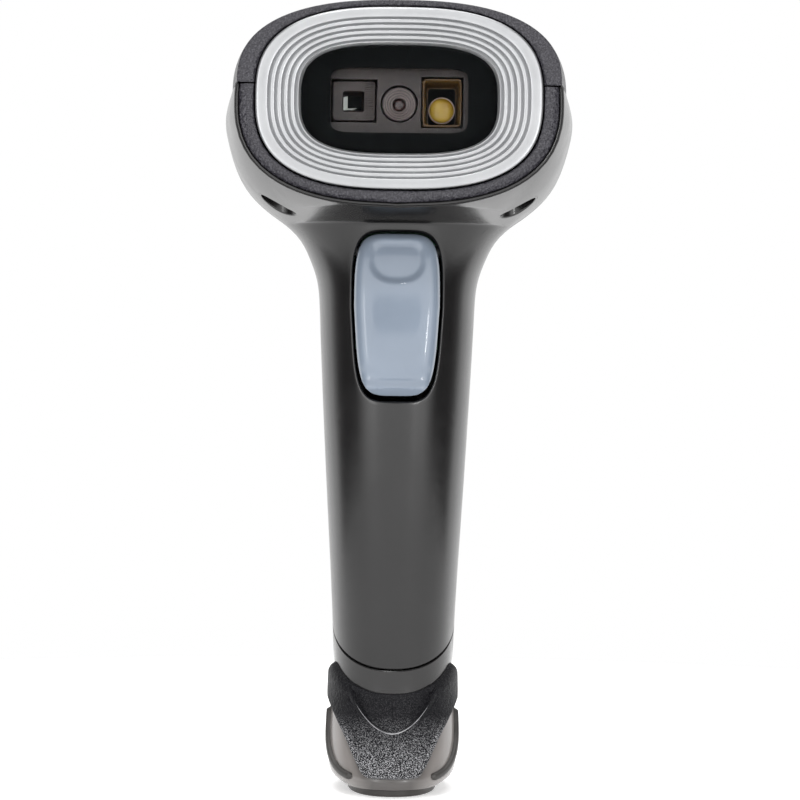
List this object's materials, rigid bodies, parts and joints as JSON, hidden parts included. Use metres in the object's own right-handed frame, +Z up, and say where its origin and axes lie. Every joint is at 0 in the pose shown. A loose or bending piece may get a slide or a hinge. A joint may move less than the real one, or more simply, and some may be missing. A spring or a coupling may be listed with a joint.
{
  "type": "handheld barcode scanner",
  "caption": "Upright pistol-grip barcode scanner with a silver ring round its scan window, a blue-grey trigger, a tapered glossy handle and a textured flared foot.",
  "frame": {"origin": "on the flat underside of the foot, on its centre line, in front of the cable socket", "axes": "+Z up along the standing scanner, -Y the way it scans, +X to the right seen from the front"},
  "size_m": [0.0716, 0.0663, 0.16],
  "materials": {
    "gloss_housing": "gloss, very fine moulding grain",
    "textured_plastic": "coarse spark-eroded texture",
    "silver_bezel": "satin silver paint",
    "window_glass": "polished",
    "window_mask": "black print behind the pane",
    "lens_glass": "coated lens",
    "foam": "closed-cell foam",
    "engine_plastic": "matt",
    "chip_black": "matt",
    "clear_plastic": "clear and cream mouldings",
    "amber_reflector": "bright amber",
    "led_yellow": "yellow phosphor",
    "circuit_board": "green solder mask",
    "flex_copper": "amber polyimide film",
    "contact_gold": "plated",
    "trigger_plastic": "satin blue-grey",
    "steel": "bright",
    "rubber": "matt"
  },
  "bodies": {
    "housing": {"top_cover": "textured_plastic", "front_shell": "gloss_housing", "rear_shell": "gloss_housing", "nose_bumper": "textured_plastic", "head_screw_left": "steel", "head_screw_right": "steel", "handle_screw": "steel", "bezel_ring": "silver_bezel", "window_pane": "window_glass", "window_mask": "window_mask", "engine_gasket": "foam", "engine_chassis": "engine_plastic", "lens_barrel": "engine_plastic", "objective_lens": "lens_glass", "image_sensor": "chip_black", "aimer_block": "engine_plastic", "aimer_lens": "clear_plastic", "aimer_led": "clear_plastic", "reflector_cup": "amber_reflector", "illumination_led": "led_yellow", "engine_board": "circuit_board", "engine_bracket": "steel", "engine_screw_left": "steel", "engine_screw_right": "steel", "engine_flex": "flex_copper", "trigger_pin": "steel", "trigger_spring": "steel", "switch_body": "chip_black", "switch_board": "circuit_board", "main_board": "circuit_board", "decoder_chip": "chip_black", "memory_chip": "chip_black", "flex_connector": "clear_plastic", "harness_plug": "clear_plastic", "buzzer": "chip_black", "status_led": "clear_plastic", "light_pipe": "clear_plastic", "board_screw_left": "steel", "board_screw_right": "steel", "cable_harness": "rubber", "foot_cap": "gloss_housing", "foot_guard": "textured_plastic", "foot_strip_left": "rubber", "foot_strip_right": "rubber", "base_plate": "rubber", "socket_housing": "chip_black", "contact_comb": "contact_gold"},
    "trigger": {"trigger_key": "trigger_plastic"},
    "plunger": {"switch_plunger": "clear_plastic"}
  },
  "joints": [
    {"name": "trigger_pivot", "type": "hinge", "parent": "housing", "child": "trigger", "pos_m": [0, -0.0163, 0.112], "axis": [1, 0, 0], "range_deg": [0, 4], "stiffness_Nm_per_rad": 0.35, "springref_deg": -2.86},
    {"name": "plunger_slide", "type": "slide", "parent": "housing", "child": "plunger", "axis": [0, 1, 0], "range_m": [0, 0.0006]}
  ],
  "couplings": [
    {"joint": "plunger_slide", "follows": "trigger_pivot", "m_per_rad": 0.008}
  ]
}
